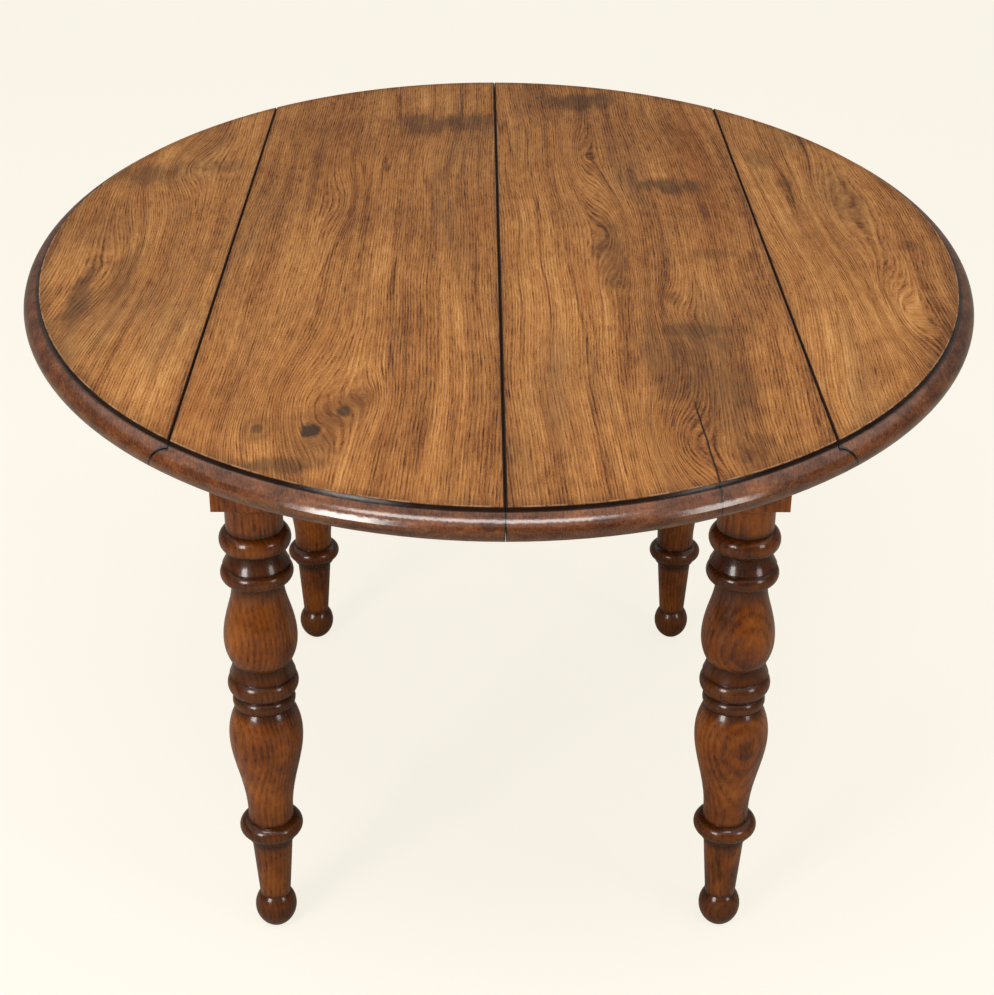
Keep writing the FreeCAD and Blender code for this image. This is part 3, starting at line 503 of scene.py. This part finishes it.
side_rail_oak = frame_oak("frame oak along", 0, linear(148, 101, 62), linear(66, 40, 23))
end_rail_oak = frame_oak("frame oak across", 1, linear(148, 101, 62), linear(66, 40, 23))
runner_oak = frame_oak("rubbed runner oak", 0, linear(172, 130, 86), linear(92, 62, 38))
for node in nodes:
    if node.endswith("end_rail") or node.endswith("bearer") or node.endswith("glue_blocks"):
        dress(node, end_rail_oak)
    elif node.endswith("_rail"):
        dress(node, side_rail_oak)
    elif node.endswith("runner") or node.endswith("loper"):
        dress(node, runner_oak)


# Pegs: riven oak dowels that pin the tenons, stop the lopers and line up the two centre boards.
# They are darker than the wood round them, because their end grain drinks the wax.


def peg_oak():
    material, shader, (x, y, z) = new_finish("riven peg oak")
    grain = noise(vector(x * 260.0, y * 260.0, z * 260.0), 3.0, 0.65)
    cloud = noise(vector(x * 30.0, y * 30.0, z * 30.0), 2.0)
    tone = clamp(0.5 + (grain - 0.5) * 1.5 + (cloud - 0.5) * 0.7)
    colour = ramp(tone, [(0.0, linear(48, 27, 15)), (1.0, linear(142, 96, 56))])
    feed(
        shader, Base_Color=colour, Roughness=clamp(0.6 + (cloud - 0.5) * 0.3),
        Normal=relief(grain, 0.0005, 0.5),
    )
    return material


peg_finish = peg_oak()
for node in nodes:
    if "peg" in node or node.endswith("_stop"):
        dress(node, peg_finish)


# Rule-joint hinges: wrought iron flaps let in flush with the underside, black with age and brown
# where rust has started in the corners.


def old_iron():
    material, shader, (x, y, z) = new_finish("old hinge iron")
    scale = noise(vector(x * 90.0, y * 90.0, z * 90.0), 4.0, 0.65)
    fine = noise(vector(x * 700.0, y * 700.0, z * 700.0), 2.0)
    rust = step(scale, 0.50, 0.68)
    colour = mix(rust * 0.75, linear(58, 54, 51), linear(92, 52, 30))
    feed(
        shader, Base_Color=colour, Metallic=clamp(0.9 - rust * 0.75),
        Roughness=clamp(0.44 + rust * 0.35 + (fine - 0.5) * 0.2),
        Normal=relief(fine + scale * 2.0, 0.0004, 0.5),
    )
    return material


iron_finish = old_iron()
for node in nodes:
    if node.endswith("flaps") or node.endswith("pins"):
        dress(node, iron_finish)


# Wood screws: hand-filed iron, one slot across a flat head. They sit flush in the hinge flaps and deep
# in wells under the runners and bearers, and their slots were left at all angles.


def screw_tree():
    """Turns each point of a mesh into a countersunk screw driven upwards from it."""
    tree = bpy.data.node_groups.new("slotted screws", "GeometryNodeTree")
    tree.interface.new_socket("Places", in_out="INPUT", socket_type="NodeSocketGeometry")
    for name in ("Shank Radius", "Head Radius", "Length", "Slot Width", "Slot Depth"):
        tree.interface.new_socket(name, in_out="INPUT", socket_type="NodeSocketFloat")
    tree.interface.new_socket("Seed", in_out="INPUT", socket_type="NodeSocketInt")
    tree.interface.new_socket("Iron", in_out="INPUT", socket_type="NodeSocketMaterial")
    tree.interface.new_socket("Screws", in_out="OUTPUT", socket_type="NodeSocketGeometry")
    sockets = tree.nodes.new("NodeGroupInput").outputs
    given = {socket.name: Value(tree, socket) for socket in sockets if socket.name}
    shank, head, length = given["Shank Radius"], given["Head Radius"], given["Length"]
    taper = head - shank
    point = shank * 2.0
    stem = length - taper - point

    def cone(foot, top, height, level):
        made = head.node("GeometryNodeMeshCone", {}, {
            "Vertices": 32, "Radius Bottom": foot, "Radius Top": top, "Depth": height,
        })
        raised = vector(0.0, 0.0, level)
        return made.node("GeometryNodeTransform", {}, {"Geometry": made, "Translation": raised})

    slot = head.node("GeometryNodeMeshCube", {}, {
        "Size": vector(head * 3.0, given["Slot Width"], given["Slot Depth"] * 2.0),
    })
    cut_head = head.node("GeometryNodeMeshBoolean", {"operation": "DIFFERENCE"}, {
        0: cone(head, shank, taper, head * 0.0), 1: slot,
    })
    screw = head.node("GeometryNodeJoinGeometry", {}, {0: cut_head})
    for piece in (cone(shank, shank, stem, taper), cone(shank, shank * 0.12, point, taper + stem)):
        tree.links.new(piece.socket, screw.socket.node.inputs[0])
    angle = head.node("FunctionNodeRandomValue", {}, {2: 0.0, 3: math.tau, "Seed": given["Seed"]}, 1)
    turned = head.node("FunctionNodeEulerToRotation", {}, {0: vector(0.0, 0.0, angle)})
    placed = head.node("GeometryNodeInstanceOnPoints", {}, {
        "Points": given["Places"], "Instance": screw, "Rotation": turned,
    })
    solid = head.node("GeometryNodeRealizeInstances", {}, {0: placed})
    filed = head.node("GeometryNodeSetMaterial", {}, {"Geometry": solid, "Material": given["Iron"]})
    tree.links.new(filed.socket, tree.nodes.new("NodeGroupOutput").inputs[0])
    return tree


def screws(node, body, places, sizes, seed):
    """Screws at these places, as one plain mesh that stands for a group of screws of the frame."""
    mesh = bpy.data.meshes.new(node)
    mesh.from_pydata(places, [], [])
    piece = bpy.data.objects.new("slotted_" + node, mesh)
    bpy.context.collection.objects.link(piece)
    rule = piece.modifiers.new("screws", "NODES")
    rule.node_group = screw_rule
    named = {**sizes, "Seed": seed, "Iron": iron_finish}
    for item in screw_rule.interface.items_tree:
        if item.name in named:
            rule[item.identifier] = named[item.name]
    seen_now = piece.evaluated_get(bpy.context.evaluated_depsgraph_get())
    piece.data = bpy.data.meshes.new_from_object(seen_now)
    piece.data.materials.clear()
    piece.data.materials.append(iron_finish)
    piece.modifiers.remove(rule)
    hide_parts(node)
    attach(piece, body)


screw_rule = screw_tree()
hinge_screw = {
    "Shank Radius": 0.0018, "Head Radius": 0.0040, "Length": 0.018,
    "Slot Width": 0.0009, "Slot Depth": 0.0010,
}
frame_screw = {
    "Shank Radius": 0.0025, "Head Radius": 0.0050, "Length": 0.040,
    "Slot Width": 0.0012, "Slot Depth": 0.0013,
}
hinge_places = (-0.430, 0.0, 0.430)
stagger = 0.014
frame_screw_z = 0.686
for seed, (side, sign, runner_y) in enumerate((("left", -1.0, 0.210), ("right", 1.0, 0.2666))):
    for flap, body, near_x, far_x in (
        ("fixed", side + "_half", 0.2953, 0.2827), ("leaf", side + "_leaf", 0.35116, 0.36915),
    ):
        places = []
        for y in hinge_places:
            places.append((sign * near_x, y - stagger, underside_z))
            places.append((sign * far_x, y + stagger, underside_z))
        screws(f"{side}_hinge_{flap}_screws", body, places, hinge_screw, seed)
    places = []
    for x, y in ((0.060, runner_y), (0.220, runner_y), (0.235, 0.075)):
        places += [(sign * x, -y, frame_screw_z), (sign * x, y, frame_screw_z)]
    screws(f"{side}_frame_screws", side + "_half", places, frame_screw, seed + 2)


# The floor: a plain pale sheet under the table, wide enough to fill the picture. The camera sees most
# of it as an even glow, and the rest takes the soft shadow of the table.
cream = linear(253, 248, 236)
bpy.ops.mesh.primitive_plane_add(size=60.0)
floor = bpy.context.object
floor.name = "studio_floor"
paper = bpy.data.materials.new("cream paper")
paper.use_nodes = True
paper_tree = paper.node_tree
paper_shader = paper_tree.nodes["Principled BSDF"]
paper_shader.inputs["Roughness"].default_value = 0.9
paper_shader.inputs["Specular IOR Level"].default_value = 0.0
glow = paper_tree.nodes.new("ShaderNodeEmission")
glow.inputs["Color"].default_value = (*cream, 1.0)
glow.inputs["Strength"].default_value = 1.07
seen = Value(paper_tree, paper_tree.nodes.new("ShaderNodeLightPath").outputs["Is Camera Ray"])
feed(paper_shader, Base_Color=mix(seen, linear(168, 160, 148), cream))
blend = paper_tree.nodes.new("ShaderNodeMixShader")
paper_tree.links.new((seen * 0.80).socket, blend.inputs[0])
paper_tree.links.new(paper_shader.outputs[0], blend.inputs[1])
paper_tree.links.new(glow.outputs[0], blend.inputs[2])
paper_tree.links.new(blend.outputs[0], paper_tree.nodes["Material Output"].inputs[0])
floor.data.materials.append(paper)


# Light: a wide pale ceiling, a long soft box overhead in front for the streak on the rim, and two low
# ones in front, the stronger on the left, for the legs.
world = bpy.data.worlds.new("pale room")
bpy.context.scene.world = world
world.use_nodes = True
room = world.node_tree.nodes["Background"]
ray = world.node_tree.nodes.new("ShaderNodeLightPath")
faced = Value(world.node_tree, ray.outputs["Is Camera Ray"])
feed(room, Color=mix(faced, (0.14, 0.136, 0.130), linear(247, 242, 230)))
ceiling = bpy.data.lights.new("ceiling", "SUN")
ceiling.angle = math.radians(120.0)
ceiling.energy = 1.05
ceiling.color = (1.0, 0.97, 0.93)
bpy.context.collection.objects.link(bpy.data.objects.new("ceiling", ceiling))


def soft_box(name, place, towards, size, power):
    lamp = bpy.data.lights.new(name, "AREA")
    lamp.shape = "RECTANGLE"
    lamp.size, lamp.size_y = size
    lamp.energy = power
    lamp.color = (1.0, 0.97, 0.93)
    holder = bpy.data.objects.new(name, lamp)
    bpy.context.collection.objects.link(holder)
    holder.location = place
    holder.rotation_euler = (Vector(towards) - Vector(place)).to_track_quat("-Z", "Y").to_euler()


soft_box("overhead box", (-0.2, -1.5, 3.0), (0.0, 0.0, 0.7), (2.4, 0.8), 43.0)
soft_box("low left box", (-2.2, -3.0, 1.8), (0.0, -0.2, 0.45), (1.1, 1.3), 62.0)
soft_box("low right box", (2.6, -2.2, 1.6), (0.0, -0.2, 0.45), (0.8, 1.1), 18.0)


# Camera: standing height in front of the table, looking down on it, as the photographer stood. The
# focal length is counted in pixels of a picture 994 pixels wide.
pitch, yaw, roll = 0.4761, 0.0109, 0.0055
forward = Vector((math.sin(yaw) * math.cos(pitch), math.cos(yaw) * math.cos(pitch), -math.sin(pitch)))
level_right = Vector((math.cos(yaw), -math.sin(yaw), 0.0))
level_up = level_right.cross(forward)
right = level_right * math.cos(roll) + level_up * math.sin(roll)
up = level_up * math.cos(roll) - level_right * math.sin(roll)
picture_width = 994.0
view = bpy.data.cameras.new("standing view")
view.sensor_fit = "HORIZONTAL"
view.sensor_width = 36.0
view.lens = 1965.0 / picture_width * view.sensor_width
view.shift_y = 2.3 / picture_width
camera = bpy.data.objects.new("standing view", view)
bpy.context.collection.objects.link(camera)
turned = Matrix((right, up, -forward)).transposed().to_4x4()
camera.matrix_world = Matrix.Translation((-0.0240, -2.1940, 1.5262)) @ turned
bpy.context.scene.camera = camera
bpy.context.scene.view_settings.view_transform = "Standard"
